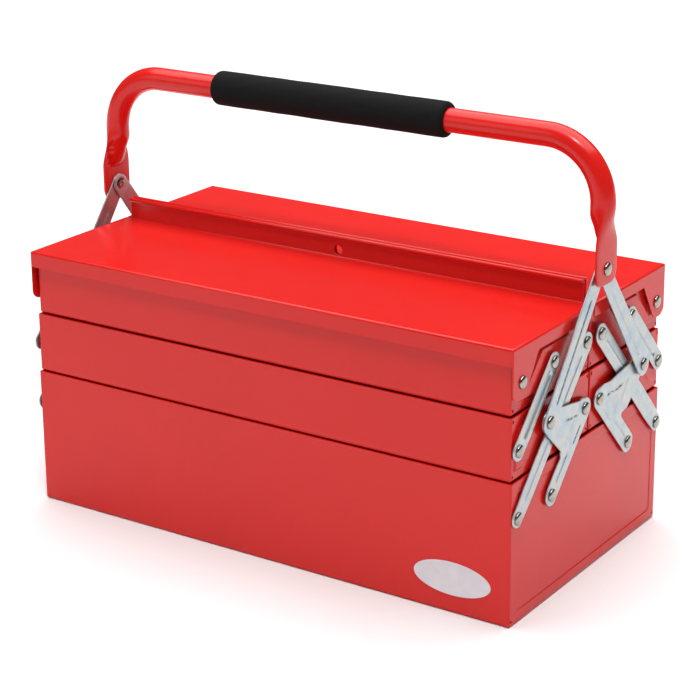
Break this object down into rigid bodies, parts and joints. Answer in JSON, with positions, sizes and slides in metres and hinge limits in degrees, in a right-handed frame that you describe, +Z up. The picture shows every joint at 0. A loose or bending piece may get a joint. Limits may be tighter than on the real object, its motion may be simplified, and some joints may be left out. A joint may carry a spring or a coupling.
{
  "type": "cantilever toolbox with trays",
  "caption": "Red steel cantilever toolbox with linked trays in tiers, hinged lids and a tubular carrying handle with a foam grip.",
  "frame": {"origin": "centre of the underside, on the surface that the box stands on", "axes": "+Z up, +X along the length to the right end, -Y to the front"},
  "size_m": [0.449, 0.2296, 0.3343],
  "materials": {
    "red_paint": "glossy red stoved enamel with faint orange peel",
    "zinc_plate": "bright zinc plating with a bluish passivation",
    "rivet_steel": "polished nickel-like dome",
    "foam": "matt closed-cell foam",
    "badge": "smooth off-white label, blank"
  },
  "bodies": {
    "base": {"base_box": "red_paint", "front_badge": "badge", "front_long_link_foot_rivet_left": "rivet_steel", "front_crank_foot_rivet_left": "rivet_steel", "front_long_link_foot_rivet_right": "rivet_steel", "front_crank_foot_rivet_right": "rivet_steel", "rear_long_link_foot_rivet_left": "rivet_steel", "rear_crank_foot_rivet_left": "rivet_steel", "rear_long_link_foot_rivet_right": "rivet_steel", "rear_crank_foot_rivet_right": "rivet_steel"},
    "front_long_links": {"front_long_link_left": "zinc_plate", "front_long_link_right": "zinc_plate"},
    "front_mid_tray": {"front_mid_tray": "red_paint", "front_short_link_foot_rivet_left": "rivet_steel", "front_crank_head_rivet_left": "rivet_steel", "front_short_link_foot_rivet_right": "rivet_steel", "front_crank_head_rivet_right": "rivet_steel"},
    "front_top_tray": {"front_top_tray": "red_paint", "front_short_link_head_rivet_left": "rivet_steel", "front_long_link_head_rivet_left": "rivet_steel", "front_lid_rivet_left": "rivet_steel", "front_short_link_head_rivet_right": "rivet_steel", "front_long_link_head_rivet_right": "rivet_steel", "front_lid_rivet_right": "rivet_steel"},
    "front_lid": {"front_lid": "red_paint"},
    "front_cranks": {"front_crank_left": "zinc_plate", "front_crank_right": "zinc_plate", "front_lift_arm_foot_rivet_left": "rivet_steel", "front_lift_arm_foot_rivet_right": "rivet_steel"},
    "front_short_links": {"front_short_link_left": "zinc_plate", "front_short_link_right": "zinc_plate"},
    "front_lift_arms": {"front_lift_arm_left": "zinc_plate", "front_lift_arm_right": "zinc_plate"},
    "rear_long_links": {"rear_long_link_left": "zinc_plate", "rear_long_link_right": "zinc_plate"},
    "rear_mid_tray": {"rear_mid_tray": "red_paint", "rear_short_link_foot_rivet_left": "rivet_steel", "rear_crank_head_rivet_left": "rivet_steel", "rear_short_link_foot_rivet_right": "rivet_steel", "rear_crank_head_rivet_right": "rivet_steel"},
    "rear_top_tray": {"rear_top_tray": "red_paint", "rear_short_link_head_rivet_left": "rivet_steel", "rear_long_link_head_rivet_left": "rivet_steel", "rear_lid_rivet_left": "rivet_steel", "rear_short_link_head_rivet_right": "rivet_steel", "rear_long_link_head_rivet_right": "rivet_steel", "rear_lid_rivet_right": "rivet_steel"},
    "rear_lid": {"rear_lid": "red_paint"},
    "rear_cranks": {"rear_crank_left": "zinc_plate", "rear_crank_right": "zinc_plate", "rear_lift_arm_foot_rivet_left": "rivet_steel", "rear_lift_arm_foot_rivet_right": "rivet_steel"},
    "rear_short_links": {"rear_short_link_left": "zinc_plate", "rear_short_link_right": "zinc_plate"},
    "rear_lift_arms": {"rear_lift_arm_left": "zinc_plate", "rear_lift_arm_right": "zinc_plate"},
    "handle_pivots": {"handle_pivot_rivet_left": "rivet_steel", "handle_pivot_rivet_right": "rivet_steel"},
    "handle": {"handle_tube": "red_paint", "handle_grip": "foam"}
  },
  "joints": [
    {"name": "front_long_link_swing", "type": "hinge", "parent": "base", "child": "front_long_links", "pos_m": [0, -0.1063, 0.0805], "axis": [1, 0, 0], "range_deg": [0, 50]},
    {"name": "front_mid_tray_level", "type": "hinge", "parent": "front_long_links", "child": "front_mid_tray", "pos_m": [0, -0.0587, 0.1297], "axis": [1, 0, 0], "range_deg": [-50, 0]},
    {"name": "front_top_tray_level", "type": "hinge", "parent": "front_long_links", "child": "front_top_tray", "pos_m": [0, -0.0111, 0.1789], "axis": [1, 0, 0], "range_deg": [-50, 0]},
    {"name": "front_crank_turn", "type": "hinge", "parent": "base", "child": "front_cranks", "pos_m": [0, -0.0587, 0.0805], "axis": [1, 0, 0], "range_deg": [0, 50]},
    {"name": "front_short_link_turn", "type": "hinge", "parent": "front_mid_tray", "child": "front_short_links", "pos_m": [0, -0.1063, 0.1297], "axis": [1, 0, 0], "range_deg": [0, 50]},
    {"name": "front_lift_arm_turn", "type": "hinge", "parent": "front_cranks", "child": "front_lift_arms", "pos_m": [0, -0.07, 0.1392], "axis": [1, 0, 0], "range_deg": [-85.15, 0]},
    {"name": "front_lid_open", "type": "hinge", "parent": "front_top_tray", "child": "front_lid", "pos_m": [0, -0.1018, 0.1775], "axis": [1, 0, 0], "range_deg": [0, 105]},
    {"name": "rear_long_link_swing", "type": "hinge", "parent": "base", "child": "rear_long_links", "pos_m": [0, 0.1063, 0.0805], "axis": [-1, 0, 0], "range_deg": [0, 50]},
    {"name": "rear_mid_tray_level", "type": "hinge", "parent": "rear_long_links", "child": "rear_mid_tray", "pos_m": [0, 0.0587, 0.1297], "axis": [-1, 0, 0], "range_deg": [-50, 0]},
    {"name": "rear_top_tray_level", "type": "hinge", "parent": "rear_long_links", "child": "rear_top_tray", "pos_m": [0, 0.0111, 0.1789], "axis": [-1, 0, 0], "range_deg": [-50, 0]},
    {"name": "rear_crank_turn", "type": "hinge", "parent": "base", "child": "rear_cranks", "pos_m": [0, 0.0587, 0.0805], "axis": [-1, 0, 0], "range_deg": [0, 50]},
    {"name": "rear_short_link_turn", "type": "hinge", "parent": "rear_mid_tray", "child": "rear_short_links", "pos_m": [0, 0.1063, 0.1297], "axis": [-1, 0, 0], "range_deg": [0, 50]},
    {"name": "rear_lift_arm_turn", "type": "hinge", "parent": "rear_cranks", "child": "rear_lift_arms", "pos_m": [0, 0.07, 0.1392], "axis": [-1, 0, 0], "range_deg": [-85.15, 0]},
    {"name": "rear_lid_open", "type": "hinge", "parent": "rear_top_tray", "child": "rear_lid", "pos_m": [0, 0.1018, 0.1775], "axis": [-1, 0, 0], "range_deg": [0, 105]},
    {"name": "handle_pivot_level", "type": "hinge", "parent": "front_lift_arms", "child": "handle_pivots", "pos_m": [0, 0, 0.231], "axis": [1, 0, 0], "range_deg": [0, 35.15]},
    {"name": "handle_swing", "type": "hinge", "parent": "handle_pivots", "child": "handle", "pos_m": [0, 0, 0.231], "axis": [1, 0, 0], "range_deg": [-45, 45]}
  ],
  "couplings": [
    {"joint": "front_mid_tray_level", "follows": "front_long_link_swing", "ratio": -1},
    {"joint": "front_top_tray_level", "follows": "front_long_link_swing", "ratio": -1},
    {"joint": "front_crank_turn", "follows": "front_long_link_swing", "ratio": 1},
    {"joint": "front_short_link_turn", "follows": "front_long_link_swing", "ratio": 1},
    {"joint": "front_lift_arm_turn", "follows": "front_long_link_swing", "ratio": -1.703},
    {"joint": "rear_long_link_swing", "follows": "front_long_link_swing", "ratio": 1},
    {"joint": "rear_mid_tray_level", "follows": "front_long_link_swing", "ratio": -1},
    {"joint": "rear_top_tray_level", "follows": "front_long_link_swing", "ratio": -1},
    {"joint": "rear_crank_turn", "follows": "front_long_link_swing", "ratio": 1},
    {"joint": "rear_short_link_turn", "follows": "front_long_link_swing", "ratio": 1},
    {"joint": "rear_lift_arm_turn", "follows": "front_long_link_swing", "ratio": -1.703},
    {"joint": "handle_pivot_level", "follows": "front_long_link_swing", "ratio": 0.703}
  ]
}
